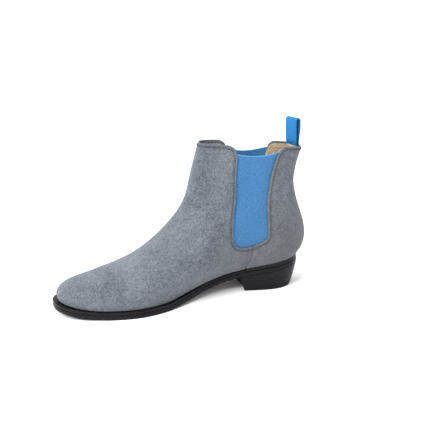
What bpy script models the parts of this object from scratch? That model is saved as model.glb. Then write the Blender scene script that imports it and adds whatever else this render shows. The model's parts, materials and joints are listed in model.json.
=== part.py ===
"""Chelsea boot for the right foot, men's EU 42, taken apart into its separate pieces.

The toe points to -Y, the inner (medial) side of the foot is at +X, and +Z is up. The origin is on
the floor, under the heel. Sizes are in millimetres here and turned into metres as meshes are made.

The whole upper follows one form, the outer surface of the last. A point on it has two coordinates:
    u  runs once round the boot: 0 centre of the heel, 0.25 medial side, 0.5 toe, 0.75 lateral side
    v  runs up it: 0 at the feather line, where the upper meets the sole, and 1 at the top
"""

import bmesh
import bpy
import numpy as np

MM = 0.001
GAP = 0.3  # between two pieces that touch

# --- The form: four curves of its side view, as (y, z), and its half widths.
BACK = [(32, 37), (39, 47), (43, 64), (38, 88), (31, 112), (29, 127), (31, 143), (37, 165)]
RIDGE = [(-246, 15), (-248, 23), (-242, 31), (-226, 37), (-199, 44), (-164, 56), (-131, 78),
         (-109, 101), (-99, 118), (-95, 133), (-90, 151), (-82, 177)]
TOPLINE = [(37, 165), (18, 168), (-20, 171), (-50, 174), (-82, 177)]
FEATHER = [(-246, 15), (-217, 10), (-184, 8), (-138, 8), (-105, 13), (-70, 20), (-34, 27), (0, 32), (32, 37)]
HEIGHTS = [0, 0.08, 0.25, 0.5, 0.75, 1]  # v of each row below
STATIONS = [0, 0.12, 0.3, 0.5, 0.7, 0.88, 1]  # share of the way from the heel to the toe
MEDIAL = [
    (57, 36, 14, 26, 48, 51, 56),
    (61, 44, 25, 32, 48, 51, 58),
    (54, 45, 33, 35, 45, 47, 49),
    (39, 35, 31, 33, 36, 36, 35),
    (36, 28, 26, 24, 25, 22, 24),
    (40, 30, 26, 22, 19, 14, 16),
]
LATERAL = [
    (67, 53, 45, 52, 55, 53, 58),
    (65, 55, 46, 54, 62, 56, 55),
    (50, 46, 40, 47, 54, 49, 45),
    (28, 25, 27, 34, 39, 39, 36),
    (28, 17, 15, 20, 26, 31, 35),
    (40, 24, 19, 18, 23, 31, 39),
]
LEAN = 3.5  # the shaft leans to the medial side by this much over LEAN_RISE
LEAN_FROM, LEAN_RISE = 40, 120

# --- The elastic gores: u of their two edges at each height, and where they stop.
GORE_HEIGHTS = [0, 0.3, 0.5, 0.75, 1]
GORE_REAR = [0.134, 0.160, 0.170, 0.180, 0.173]
GORE_FRONT = [0.192, 0.222, 0.250, 0.280, 0.303]
GORE_BOTTOM, GORE_TOP = 0.285, 0.955
CORNER_REAR, CORNER_FRONT = 0.023, 0.038  # u over which the panels' top corners are rounded
TUCK_LOW = 0.35  # the strips tucked under the front panel narrow to this share at the bottom

# --- Layers of the upper, as depths below the form.
LEATHER = 1.6
GORE_DEPTH, GORE_THICK = 2.05, 1.0
STIFFENER_DEPTH, STIFFENER_THICK = 2.0, 1.0
LINING_DEPTH, LINING_THICK = 3.5, 0.8
MARGIN = 13  # the upper is turned under the insole by this much
SEAM_GAP_U, BACK_GAP_U = 0.002, 0.003  # u left free at the side seams and at the lining's back seam
COUNTER_GAP_V = 0.012  # v left free between the heel counter and the gores' lower edges

# --- The bottom, as heights above or below the feather line.
SOLE = 8.6  # welt and outsole together
WELT_THICK, OUTSOLE_THICK = 3.0, 5.0
INSOLE_LIFT, INSOLE_THICK, INSOLE_INSET = 1.9, 2.5, 3.6
SHANK_WIDTH, SHANK_THICK, SHANK_ENDS = 14.0, 1.2, (-112, 2)
LINING_FOOT = INSOLE_LIFT + INSOLE_THICK + 2 * GAP  # the linings stand on the insole
SOCK_THICK = 1.0
WELT_INNER = 6.0  # the welt reaches this far in under the upper
EDGE_FRONT, EDGE_REAR = 4.0, 1.2  # how far the sole's edge stands out, at the forefoot and at the heel
EDGE_TOE = 2.4  # and how much further at the very toe
FOREFOOT_Y, TOE_Y = (-70, -130), (-205, -240)  # where the edge widens
SEAT_Y = -34  # the heel seat starts here, at the side seams

# --- The heel.
BREAST_Y, BREAST_SLOPE = -41, 6  # the heel's front face, at its top, and how far it slopes back
HEEL_MIDDLE_X = -6
HEEL_U = 0.3  # the heel's sides lie between u = 0 and this
HEEL_POINTS, HEEL_CROWD = 9, 0.8  # points along each of its sides, closer together at the back below 1
WEDGE_TOP = 34
WEDGE_CUT_OVER = 8  # the cutter that shapes the wedge's top stands this far out all round
TOP_PIECE = 6.0
LIFT, LIFTS = 3.0, 3
TAPER = 0.88  # the heel's footprint, against the heel seat
NAILS = [(-11, 7), (1, 7), (-17, -12), (5, -12)]
NAIL_R, NAIL_HOLE_R, NAIL_FOOT = 1.0, 1.3, 7.5
NAIL_HEAD_DEPTH, HOLE_OVER = 1.0, 10.0  # the heads lie below the insole's top, and the holes run past it

# --- The pull tab: a webbing loop at the back of the top.
TAB_X, TAB_Y, TAB_TURN = -2.0, 31.5, 14.0
TAB_WIDTH, TAB_THICK = 20.0, 1.2
TAB_FOOT, TAB_TOP = 168.8, 196.0
TAB_HALF_GAP = 2.5
TAB_BASE_V, TAB_BASE_SHARE = (0.90, 0.99), 0.8  # its stitched foot: heights, and share of a grid cell
TAB_SEWN = 4.0  # the two straps lie together up to this far above the loop's foot


# ---------------------------------------------------------------- curves and the form


def spline_weights(knots, at):
    """Weights of the natural cubic spline on knots, so that weights @ values is its value at each place."""
    knots, at = np.asarray(knots, float), np.asarray(at, float)
    count, step = len(knots), np.diff(knots)
    left, right = np.eye(count), np.zeros((count, count))
    for i in range(1, count - 1):
        left[i, i - 1 : i + 2] = step[i - 1], 2 * (step[i - 1] + step[i]), step[i]
        right[i, i - 1 : i + 2] = 6 / step[i - 1], -6 / step[i - 1] - 6 / step[i], 6 / step[i]
    bend = np.linalg.solve(left, right)
    i = np.clip(np.searchsorted(knots, at) - 1, 0, count - 2)
    b = ((at - knots[i]) / step[i])[..., None]
    a = 1 - b
    pull = (step[i] ** 2 / 6)[..., None]
    flat = a * np.eye(count)[i] + b * np.eye(count)[i + 1]
    return flat + pull * ((a**3 - a) * bend[i] + (b**3 - b) * bend[i + 1])


def along(points):
    """The smooth curve through points, as a function of the share of its length."""
    points = np.array(points, float)
    share = np.append(0, np.cumsum(np.hypot(*np.diff(points, axis=0).T)))
    dense = spline_weights(share / share[-1], np.linspace(0, 1, 400)) @ points
    run = np.append(0, np.cumsum(np.hypot(*np.diff(dense, axis=0).T)))
    run /= run[-1]
    return lambda at: np.stack([np.interp(at, run, dense[:, 0]), np.interp(at, run, dense[:, 1])], -1)


back, ridge, topline = along(BACK), along(RIDGE), along(TOPLINE)


def feather_z(y):
    """Height of the feather line. The sole lies flat on the floor where this is SOLE."""
    places, heights = np.array(FEATHER, float).T
    return SOLE + np.maximum(spline_weights(places, y) @ (heights - SOLE), 0)


def side_view(t, v):
    """The form's (y, z): a patch stretched between its four side-view curves."""
    heel, toe = BACK[0][0], RIDGE[0][0]
    y = heel + (toe - heel) * t
    low = np.stack([y, feather_z(y)], -1)
    ends = np.array([(heel, feather_z(heel)), (toe, feather_z(toe)), topline(0), topline(1)])
    high = topline(t)
    t, v = t[..., None], v[..., None]
    patch = (1 - v) * low + v * high + (1 - t) * back(v[..., 0]) + t * ridge(v[..., 0])
    return patch - (1 - v) * ((1 - t) * ends[0] + t * ends[1]) - v * ((1 - t) * ends[2] + t * ends[3])


def form(u, v):
    """Point on the form's surface."""
    u, v = np.broadcast_arrays(np.asarray(u, float), np.asarray(v, float))
    t = (1 - np.cos(2 * np.pi * u)) / 2
    yz = side_view(t, v)
    turn = np.sin(2 * np.pi * u)
    rows, stations = spline_weights(HEIGHTS, v), spline_weights(STATIONS, t)
    medial = np.einsum("...i,ij,...j", rows, np.array(MEDIAL, float), stations)
    lateral = np.einsum("...i,ij,...j", rows, np.array(LATERAL, float), stations)
    lean = LEAN * np.clip((yz[..., 1] - LEAN_FROM) / LEAN_RISE, 0, 1.2)
    x = turn * np.where(turn >= 0, medial, lateral) + lean
    return np.stack([x, yz[..., 0], yz[..., 1]], -1)


def outward(u, v, tiny=1e-3):
    """The form's unit normal, pointing out of the boot."""
    round_it = form(u + tiny, v) - form(u - tiny, v)
    up_it = form(u, v + tiny) - form(u, v - tiny)
    normal = np.cross(up_it, round_it)
    return normal / np.linalg.norm(normal, axis=-1, keepdims=True)


# ---------------------------------------------------------------- the grid that all layers share

REAR_CELLS, GORE_CELLS, FRONT_CELLS = 5, 4, 13
HALF_CELLS = REAR_CELLS + GORE_CELLS + FRONT_CELLS
GORE_START, GORE_END = REAR_CELLS, REAR_CELLS + GORE_CELLS
SEAM = REAR_CELLS + GORE_CELLS // 2
ROW_V = np.array([0, 0.04, 0.09, 0.16, 0.225, GORE_BOTTOM, 0.35, 0.45, 0.57, 0.69, 0.80, 0.90, 1.0])
GORE_ROW = 5


def column_u(v):
    """u of each grid line at height v, from the heel's centre round the medial side to the toe's."""
    weights = spline_weights(GORE_HEIGHTS, v)
    rear, front = weights @ np.array(GORE_REAR), weights @ np.array(GORE_FRONT)
    tucked = rear - CORNER_REAR
    strip = CORNER_FRONT * (TUCK_LOW + (1 - TUCK_LOW) * v)
    lines = [tucked * i / (REAR_CELLS - 2) for i in range(REAR_CELLS - 1)]
    lines += [rear - CORNER_REAR / 3]
    lines += [rear + (front - rear) * i / GORE_CELLS for i in range(GORE_CELLS + 1)]
    lines += [front + strip / 3]
    start = front + strip
    lines += [start + (0.5 - start) * i / (FRONT_CELLS - 2) for i in range(FRONT_CELLS - 1)]
    return np.array(lines)


def top_v(from_gore, span):
    """Height of a panel's top edge near the gore: a quarter round that falls to the gore's top."""
    away = np.clip(from_gore / span, 0, 1)
    return GORE_TOP + (1 - GORE_TOP) * np.sqrt(1 - (1 - away) ** 2)


def half_grid(gore_layer):
    """(u, v) of the grid's lines on the medial half, as rows by columns."""
    rows = []
    rear, front = spline_weights(GORE_HEIGHTS, 1.0) @ np.array([GORE_REAR, GORE_FRONT]).T
    for v in ROW_V:
        if gore_layer and v == ROW_V[GORE_ROW - 1]:
            v += COUNTER_GAP_V
        u = column_u(v)
        at_top = column_u(1.0)
        top = np.full(len(u), GORE_TOP)
        if not gore_layer:
            top = np.where(at_top < rear, top_v(rear - at_top, CORNER_REAR), top)
            top = np.where(at_top > front, top_v(at_top - front, CORNER_FRONT), top)
        limit = ROW_V[-3]
        stretched = limit + (v - limit) * (top - limit) / (1 - limit)
        rows.append(np.stack([u, np.where(v > limit, stretched, v)], -1))
    return np.array(rows)


def whole_grid(gore_layer=False):
    """The grid all the way round: columns 0 to 2 * HALF_CELLS, where both ends are the heel's centre."""
    medial = half_grid(gore_layer)
    lateral = medial[:, -2::-1].copy()
    lateral[..., 0] = 1 - lateral[..., 0]
    return np.concatenate([medial, lateral], axis=1)


# ---------------------------------------------------------------- making objects


def clear_scene():
    for obj in list(bpy.data.objects):
        bpy.data.objects.remove(obj)


def collection(name):
    made = bpy.data.collections.new(name)
    bpy.context.scene.collection.children.link(made)
    return made


def material(name, colour, roughness, metallic=0.0):
    made = bpy.data.materials.new(name)
    made.use_nodes = True
    shader = made.node_tree.nodes["Principled BSDF"]
    shader.inputs["Base Color"].default_value = (*colour, 1)
    shader.inputs["Roughness"].default_value = roughness
    shader.inputs["Metallic"].default_value = metallic
    return made


def add_mesh(name, points, faces, finish, smooth=True):
    """A mesh object from points in millimetres. Faces that have shrunk to a line or a point are dropped."""
    points = np.round(np.asarray(points, float), 5)
    _, first, same = np.unique(points, axis=0, return_index=True, return_inverse=True)
    same = first[same.reshape(-1)]
    kept = []
    for face in faces:
        ring = [same[i] for k, i in enumerate(face) if same[i] != same[face[k - 1]]]
        if len(set(ring)) > 2:
            kept.append(ring)
    used = sorted({i for ring in kept for i in ring})
    place = {old: new for new, old in enumerate(used)}
    mesh = bpy.data.meshes.new(name)
    mesh.from_pydata((points[used] * MM).tolist(), [], [[place[i] for i in ring] for ring in kept])
    mesh.update()
    if smooth:
        mesh.shade_smooth()
        mesh.set_sharp_from_angle(angle=np.radians(40))
    obj = bpy.data.objects.new(name, mesh)
    obj.data.materials.append(finish)
    BOOT.objects.link(obj)
    return obj


def thicken(obj, thickness, even=True):
    """Adds thickness behind the surface, away from its normals."""
    solid = obj.modifiers.new("thickness", "SOLIDIFY")
    solid.thickness = thickness * MM
    solid.offset = -1
    solid.use_even_offset = even
    solid.use_quality_normals = True


def sheet_faces(rows, columns, keep=lambda row, column: True):
    """Quads of a rows by columns grid of points, wound so that they face out of the boot."""
    faces = []
    for row in range(rows - 1):
        for column in range(columns - 1):
            if keep(row, column):
                corner = row * columns + column
                faces.append([corner, corner + columns, corner + columns + 1, corner + 1])
    return faces


def plan_offset(u, distance):
    """The feather line moved outwards in plan, by distance, or inwards where it is negative."""
    tiny = 1e-3
    along_it = (form(u + tiny, 0) - form(u - tiny, 0))[..., :2]
    outside = np.stack([-along_it[..., 1], along_it[..., 0]], -1)
    outside /= np.linalg.norm(outside, axis=-1, keepdims=True)
    return form(u, 0)[..., :2] + outside * np.asarray(distance)[..., None]


def panel(name, keep, depth, thickness, finish, gore_layer=False, margin=0.0, foot=0.0, pulled=()):
    """A layer of the upper: the grid's cells that keep(row, column) picks, depth below the form.

    With a margin, the layer is also turned in under the insole by that much. Its lower edge is foot
    above the feather line. Each of pulled is a grid column and how far it moves along u, which leaves
    a gap to the next panel.
    """
    grid = whole_grid(gore_layer)
    for column, shift in pulled:
        grid[:, column, 0] += shift
    u, v = grid[..., 0], grid[..., 1]
    if foot:
        first = ROW_V[1]
        v[0] = first * foot / (form(u[0], first) - form(u[0], 0))[:, 2]
        v[1] = np.maximum(v[1], v[0] + (ROW_V[2] - v[0]) / 3)
    points = form(u, v) - depth * outward(u, v)
    flap_rows = 0
    if margin:
        flap = []
        for reach in (margin, margin / 2):
            plan = plan_offset(u[0], np.full(len(u[0]), -reach))
            flap.append(np.concatenate([plan, feather_z(plan[:, 1])[:, None]], axis=1))
        points = np.concatenate([flap, points])
        flap_rows = len(flap)
    if not pulled or pulled[0][0] != 0:
        points[:, -1] = points[:, 0]
    rows, columns = points.shape[:2]
    faces = sheet_faces(rows, columns, lambda row, column: keep(max(row - flap_rows, 0), column))
    obj = add_mesh(name, points.reshape(-1, 3), faces, finish)
    thicken(obj, thickness)
    return obj


def smooth_share(y, start, end):
    """How far y has come from start to end, from 0 to 1, with a soft start and a soft stop."""
    share = np.clip((y - start) / (end - start), 0, 1)
    return share * share * (3 - 2 * share)


def sole_edge(u):
    """How far the sole's edge stands out from the feather line: wide at the toe, close at waist and heel."""
    y = form(u, 0)[..., 1]
    wide = (EDGE_FRONT - EDGE_REAR) * smooth_share(y, *FOREFOOT_Y)
    return EDGE_REAR + wide + EDGE_TOE * smooth_share(y, *TOE_Y)


BASE_U = column_u(0.0)


def slab(name, inset, lift, thickness, finish, stations=BASE_U, across=4, even=False):
    """A layer of the bottom, its top face lift above the feather line, its edge inset from it."""
    shares = np.linspace(0, 1, across + 1)[:, None]
    points = []
    for u in stations:
        edge = inset(u) if callable(inset) else inset
        medial, lateral = plan_offset(u, -edge), plan_offset(1 - u, -edge)
        plan = lateral + (medial - lateral) * shares
        points.append(np.concatenate([plan, feather_z(plan[:, 1])[:, None] + lift], axis=1))
    points = np.array(points)
    rows, columns = points.shape[:2]
    obj = add_mesh(name, points.reshape(-1, 3), sheet_faces(rows, columns), finish)
    thicken(obj, thickness, even)
    return obj


def ring(name, u_lines, inner, outer, top, thickness, finish):
    """A strip that follows the feather line, such as the welt. Its edges are insets, as functions of u."""
    points = []
    for inset in (outer, inner):
        plan = np.array([plan_offset(u, -inset(u)) for u in u_lines])
        points.append(np.concatenate([plan, feather_z(plan[:, 1])[:, None] + top], axis=1))
    points = np.array(points)
    obj = add_mesh(name, points.reshape(-1, 3), sheet_faces(2, len(u_lines)), finish)
    thicken(obj, thickness, even=False)
    return obj


def outline_block(name, outline, low, high, finish):
    """A flat piece with upright sides: a filled curve, extruded, and then made a mesh."""
    curve = bpy.data.curves.new(name, "CURVE")
    curve.dimensions, curve.fill_mode = "2D", "BOTH"
    curve.extrude = (high - low) / 2 * MM
    spline = curve.splines.new("POLY")
    spline.points.add(len(outline) - 1)
    for point, (x, y) in zip(spline.points, outline):
        point.co = (x * MM, y * MM, 0, 1)
    spline.use_cyclic_u = True
    guide = bpy.data.objects.new(name + "_curve", curve)
    guide.location.z = (high + low) / 2 * MM
    BOOT.objects.link(guide)
    bpy.context.view_layer.update()
    evaluated = guide.evaluated_get(bpy.context.evaluated_depsgraph_get())
    mesh = bpy.data.meshes.new_from_object(evaluated)
    obj = bpy.data.objects.new(name, mesh)
    obj.matrix_world = guide.matrix_world.copy()
    bpy.data.objects.remove(guide)
    weld = obj.modifiers.new("caps", "WELD")
    weld.merge_threshold = 1e-5
    obj.data.materials.clear()
    obj.data.materials.append(finish)
    BOOT.objects.link(obj)
    return obj


def cylinder(name, radius, low, high, x, y, finish, holder, sides=10):
    bpy.ops.mesh.primitive_cylinder_add(
        vertices=sides, radius=radius * MM, depth=(high - low) * MM, location=(x * MM, y * MM, (low + high) / 2 * MM)
    )
    obj = bpy.context.active_object
    obj.name = name
    if finish:
        obj.data.materials.append(finish)
    for old in list(obj.users_collection):
        old.objects.unlink(obj)
    holder.objects.link(obj)
    return obj


def face_outwards(mesh):
    work = bmesh.new()
    work.from_mesh(mesh)
    bmesh.ops.recalc_face_normals(work, faces=work.faces)
    work.to_mesh(mesh)
    work.free()


def cut(obj, cutter):
    boolean = obj.modifiers.new("cut_" + cutter.name, "BOOLEAN")
    boolean.operation = "DIFFERENCE"
    boolean.object = cutter


def hide(obj):
    obj.hide_render = True
    obj.display_type = "WIRE"
    for old in list(obj.users_collection):
        old.objects.unlink(obj)
    CUTTERS.objects.link(obj)


# ---------------------------------------------------------------- the pieces


def side_of(column):
    """The cell's column as counted on the medial half, whichever side it is on."""
    return min(column, 2 * HALF_CELLS - 1 - column)


def in_front(row, column):
    return side_of(column) >= (SEAM if row < GORE_ROW else GORE_END)


def in_rear(row, column):
    return side_of(column) < (SEAM if row < GORE_ROW else GORE_START)


def in_gore(row, column):
    """The gore, with the strips of it that are tucked under the panels beside and below it."""
    return row >= GORE_ROW - 1 and GORE_START - 2 <= side_of(column) < GORE_END + 2


def in_toe(row, column):
    return 1 <= row < 4 and side_of(column) >= HALF_CELLS - 5


def in_heel_cup(row, column):
    return 1 <= row < GORE_ROW - 1 and side_of(column) < REAR_CELLS


def one_side(keep, medial):
    return lambda row, column: keep(row, column) and (column < HALF_CELLS) == medial


def make_upper():
    last = 2 * HALF_CELLS
    seams = ((SEAM, -SEAM_GAP_U), (last - SEAM, SEAM_GAP_U))
    panel("front_upper", in_front, 0, LEATHER, SUEDE, margin=MARGIN)
    panel("rear_upper", in_rear, 0, LEATHER, SUEDE, margin=MARGIN, pulled=seams)
    for side, medial in (("medial", True), ("lateral", False)):
        keep = one_side(in_gore, medial)
        panel(f"gore_{side}", keep, GORE_DEPTH, GORE_THICK, ELASTIC, gore_layer=True)
        keep = one_side(in_rear, medial)
        pulled = ((0, BACK_GAP_U), (last, -BACK_GAP_U)) + seams
        panel(f"lining_rear_{side}", keep, LINING_DEPTH, LINING_THICK, LINING, foot=LINING_FOOT, pulled=pulled)
    panel("lining_front", in_front, LINING_DEPTH, LINING_THICK, LINING, foot=LINING_FOOT)
    panel("toe_puff", in_toe, STIFFENER_DEPTH, STIFFENER_THICK, STIFFENER)
    panel("heel_counter", in_heel_cup, STIFFENER_DEPTH, STIFFENER_THICK, STIFFENER)


def welt_outline(u):
    return -sole_edge(u)


def make_bottom():
    """Welt and rand, cork, insole, sock and outsole, each parallel to the feather line."""
    seat_u = np.interp(-SEAT_Y, -form(BASE_U, 0)[:, 1], BASE_U)
    start = seat_u + SEAM_GAP_U
    whole = np.append(BASE_U, 1 - BASE_U[-2::-1])
    between = whole[(whole > start + SEAM_GAP_U) & (whole < 1 - start - SEAM_GAP_U)]
    welt_u = np.concatenate([[start], between, [1 - start]])
    behind = BASE_U[BASE_U < seat_u]
    rand_u = np.concatenate([[-seat_u], -behind[:0:-1], behind, [seat_u]])
    for name, lines in (("welt", welt_u), ("heel_rand", rand_u)):
        ring(name, lines, lambda u: WELT_INNER, welt_outline, -GAP, WELT_THICK, BLACK_LEATHER)
    slab("cork_filler", WELT_INNER + GAP, -GAP, WELT_THICK, CORK)
    slab("insole", INSOLE_INSET, INSOLE_LIFT + INSOLE_THICK, INSOLE_THICK, INSOLE)
    sock_lift = INSOLE_LIFT + INSOLE_THICK + GAP + SOCK_THICK
    slab("sock_liner", LINING_DEPTH + LINING_THICK + 2 * GAP, sock_lift, SOCK_THICK, LINING)
    slab("outsole", welt_outline, OUTSOLE_THICK - SOLE, OUTSOLE_THICK, BLACK_LEATHER)


def mid_x(y):
    """Where the middle of the bottom is, from side to side, at y."""
    middle = (form(BASE_U, 0) + form(1 - BASE_U, 0)) / 2
    return np.interp(-y, -middle[:, 1], middle[:, 0])


def make_shank():
    """A spring steel strip under the insole, from the heel seat to the ball of the foot."""
    ys = np.linspace(*SHANK_ENDS, 13)
    points = []
    for y in ys[::-1]:
        for side in (-0.5, 0, 0.5):
            points.append((mid_x(y) + side * SHANK_WIDTH, y, feather_z(y) + SHANK_THICK))
    thicken(add_mesh("shank", points, sheet_faces(len(ys), 3), STEEL), SHANK_THICK, even=False)


def heel_side(turned, breast):
    """One side of the heel in plan, from the centre of the back to the breast. turned maps its u to that side."""
    u = np.linspace(0, HEEL_U, 200)
    last = np.interp(-breast, -plan_offset(turned(u), EDGE_REAR)[:, 1], u)
    share = np.linspace(0, 1, HEEL_POINTS) ** HEEL_CROWD
    return plan_offset(turned(share * last), EDGE_REAR)


def heel_outline(scale, breast):
    """Outline of the heel in plan: the sole's edge behind the breast, drawn in towards the heel's middle."""
    medial, lateral = heel_side(lambda u: u, breast), heel_side(lambda u: 1 - u, breast)
    middle = np.array([HEEL_MIDDLE_X, breast])
    return middle + (np.concatenate([medial, lateral[:0:-1]]) - middle) * scale


def make_heel():
    """Rubber top piece, leather lifts and a wedge up to the outsole, nailed from inside the boot."""
    wedge_low = TOP_PIECE + LIFTS * (LIFT + GAP) + GAP
    levels = [("heel_top_piece", 0, TOP_PIECE, BLACK_RUBBER)]
    for i in range(LIFTS):
        low = TOP_PIECE + GAP + i * (LIFT + GAP)
        levels.append((f"heel_lift_{i + 1}", low, low + LIFT, BLACK_LEATHER))
    levels.append(("heel_wedge", wedge_low, WEDGE_TOP, BLACK_LEATHER))
    made = {}
    for name, low, high, finish in levels:
        share = min(low / wedge_low, 1)
        scale = TAPER + (1 - TAPER) * share
        outline = heel_outline(scale, BREAST_Y + BREAST_SLOPE * (1 - share))
        made[name] = outline_block(name, outline, low, high, finish)
    above = slab("above_wedge", -WEDGE_CUT_OVER, -SOLE - GAP + WEDGE_TOP, WEDGE_TOP, BLACK_LEATHER)
    cut(made["heel_wedge"], above)
    hide(above)
    nails = nail_cutter()
    for name in [*made][1:] + ["outsole", "insole", "cork_filler"]:
        cut(bpy.data.objects[name], nails)


def nail_cutter():
    """The nails, and one joined cutter for their holes."""
    holes = []
    for i, (x, y) in enumerate(NAILS, 1):
        head = float(feather_z(y)) + INSOLE_LIFT + INSOLE_THICK - NAIL_HEAD_DEPTH
        cylinder(f"heel_nail_{i}", NAIL_R, NAIL_FOOT, head, x, y, STEEL, BOOT)
        hole = cylinder(f"nail_hole_{i}", NAIL_HOLE_R, NAIL_FOOT - GAP, head + HOLE_OVER, x, y, None, CUTTERS)
        holes.append(hole)
    bpy.ops.object.select_all(action="DESELECT")
    for hole in holes:
        hole.select_set(True)
    bpy.context.view_layer.objects.active = holes[0]
    bpy.ops.object.join()
    hide(holes[0])
    return holes[0]


def make_tab_base():
    """The webbing's stitched foot, between the leather and the lining at the back."""
    rows = []
    for v in TAB_BASE_V:
        side = column_u(v)[1]
        u = np.array([-side, 0, side])
        line = form(u, v) - GORE_DEPTH * outward(u, v)
        rows.append(line[1] + (line - line[1]) * TAB_BASE_SHARE)
    base = add_mesh("pull_tab_base", np.concatenate(rows), sheet_faces(len(rows), 3), ELASTIC)
    thicken(base, TAB_THICK)


def loop_outline(half_gap, foot, top, least=0.0, steps=7):
    """Outline of the loop seen from its side, as (across, up): up one strap, over the crown and down the other.

    The straps draw together towards the foot, where each is least from the middle.
    """
    share = np.linspace(0, 1, steps)
    across = np.maximum(half_gap * np.sin(np.pi / 2 * share) ** 0.6, least)
    up = foot + (top - foot - half_gap) * share
    turn = np.linspace(0, np.pi, steps)[1:-1]
    crown = [(half_gap * np.cos(a), top - half_gap + half_gap * np.sin(a)) for a in turn]
    return [*zip(across, up), *crown, *zip(-across[::-1], up[::-1])]


def loop_block(name, outline, half_width):
    """The outline stretched to both sides of the tab's middle, and turned as the tab is."""
    turn = np.radians(TAB_TURN)
    wide, deep = np.array([np.cos(turn), np.sin(turn), 0]), np.array([-np.sin(turn), np.cos(turn), 0])
    middle = np.array([TAB_X, TAB_Y, 0])
    points = []
    for side in (-half_width, half_width):
        points += [middle + wide * side + deep * across + np.array([0, 0, up]) for across, up in outline]
    count = len(outline)
    faces = [[i, (i + 1) % count, count + (i + 1) % count, count + i] for i in range(count)]
    faces += [[*range(count)][::-1], [*range(count, 2 * count)]]
    made = add_mesh(name, points, faces, ELASTIC)
    face_outwards(made.data)
    return made


def make_tab():
    """The webbing's foot, and the loop that stands above it."""
    make_tab_base()
    outer = loop_outline(TAB_HALF_GAP + TAB_THICK, TAB_FOOT, TAB_TOP, least=TAB_THICK)
    inner = loop_outline(TAB_HALF_GAP, TAB_FOOT + TAB_SEWN, TAB_TOP - TAB_THICK)[:-1]
    loop = loop_block("pull_tab_loop", outer, TAB_WIDTH / 2)
    opening = loop_block("tab_opening", inner, TAB_WIDTH)
    cut(loop, opening)
    hide(opening)


def main():
    make_upper()
    make_bottom()
    make_shank()
    make_heel()
    make_tab()


clear_scene()
BOOT = collection("chelsea_boot")
CUTTERS = collection("cutters")
SUEDE = material("grey_suede", (0.23, 0.24, 0.26), 0.9)
ELASTIC = material("blue_elastic", (0.05, 0.32, 0.75), 0.7)
LINING = material("beige_leather", (0.55, 0.45, 0.32), 0.6)
STIFFENER = material("stiffener_board", (0.75, 0.72, 0.65), 0.8)
BLACK_LEATHER = material("black_leather", (0.012, 0.012, 0.013), 0.35)
BLACK_RUBBER = material("black_rubber", (0.015, 0.015, 0.016), 0.6)
CORK = material("cork", (0.45, 0.28, 0.14), 0.9)
INSOLE = material("insole_leather", (0.62, 0.44, 0.27), 0.7)
STEEL = material("spring_steel", (0.35, 0.35, 0.36), 0.35, 1.0)
main()
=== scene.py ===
"""Looks of a chelsea boot: grey suede, blue elastic gores and pull tab, tan leather lining, black sole.

The upper is cut from one form, the outer surface of the last, which the CAD model uses too. A point on
it has two coordinates:
    u  runs once round the boot: 0 centre of the heel, 0.25 medial side, 0.5 toe, 0.75 lateral side
    v  runs up it: 0 at the feather line, where the upper meets the sole, and 1 at the top
A panel is an outline in (u, v), filled with a fine mesh and given thickness and rolled edges. Sizes are
in millimetres here and turned into metres as meshes are made. The toe points to -Y.
"""

import json
import math

import bmesh
import bpy
import numpy as np
from mathutils import Matrix, Vector, geometry, noise

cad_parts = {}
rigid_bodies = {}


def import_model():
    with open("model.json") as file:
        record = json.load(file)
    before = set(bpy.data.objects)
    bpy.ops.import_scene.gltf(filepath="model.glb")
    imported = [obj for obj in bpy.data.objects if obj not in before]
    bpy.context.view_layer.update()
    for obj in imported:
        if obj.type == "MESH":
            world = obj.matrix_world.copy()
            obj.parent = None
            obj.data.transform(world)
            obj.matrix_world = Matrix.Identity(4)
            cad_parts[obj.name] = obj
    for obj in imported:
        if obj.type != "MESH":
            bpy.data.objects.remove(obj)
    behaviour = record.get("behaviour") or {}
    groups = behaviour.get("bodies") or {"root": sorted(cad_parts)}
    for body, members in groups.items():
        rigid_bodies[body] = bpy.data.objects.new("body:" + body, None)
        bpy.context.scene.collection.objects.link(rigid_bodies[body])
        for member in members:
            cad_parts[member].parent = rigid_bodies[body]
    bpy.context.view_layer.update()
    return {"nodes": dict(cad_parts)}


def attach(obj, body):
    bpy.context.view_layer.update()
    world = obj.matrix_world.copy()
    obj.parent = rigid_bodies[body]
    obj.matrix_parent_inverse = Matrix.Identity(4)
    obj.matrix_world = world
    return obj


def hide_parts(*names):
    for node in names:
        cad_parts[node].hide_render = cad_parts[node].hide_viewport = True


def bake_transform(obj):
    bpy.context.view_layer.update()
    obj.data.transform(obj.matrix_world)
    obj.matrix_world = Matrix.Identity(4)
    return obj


MM = 0.001
GAP = 0.3

# --- The form, as in the CAD model: four curves of its side view, as (y, z), and its half widths.
BACK = [(32, 37), (39, 47), (43, 64), (38, 88), (31, 112), (29, 127), (31, 143), (37, 165)]
RIDGE = [(-246, 15), (-248, 23), (-242, 31), (-226, 37), (-199, 44), (-164, 56), (-131, 78),
         (-109, 101), (-99, 118), (-95, 133), (-90, 151), (-82, 177)]
TOPLINE = [(37, 165), (18, 168), (-20, 171), (-50, 174), (-82, 177)]
FEATHER = [(-246, 15), (-217, 10), (-184, 8), (-138, 8), (-105, 13), (-70, 20), (-34, 27), (0, 32), (32, 37)]
HEIGHTS = [0, 0.08, 0.25, 0.5, 0.75, 1]  # v of each row below
STATIONS = [0, 0.12, 0.3, 0.5, 0.7, 0.88, 1]  # share of the way from the heel to the toe
MEDIAL = [
    (57, 36, 14, 26, 48, 51, 56),
    (61, 44, 25, 32, 48, 51, 58),
    (54, 45, 33, 35, 45, 47, 49),
    (39, 35, 31, 33, 36, 36, 35),
    (36, 28, 26, 24, 25, 22, 24),
    (40, 30, 26, 22, 19, 14, 16),
]
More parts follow.
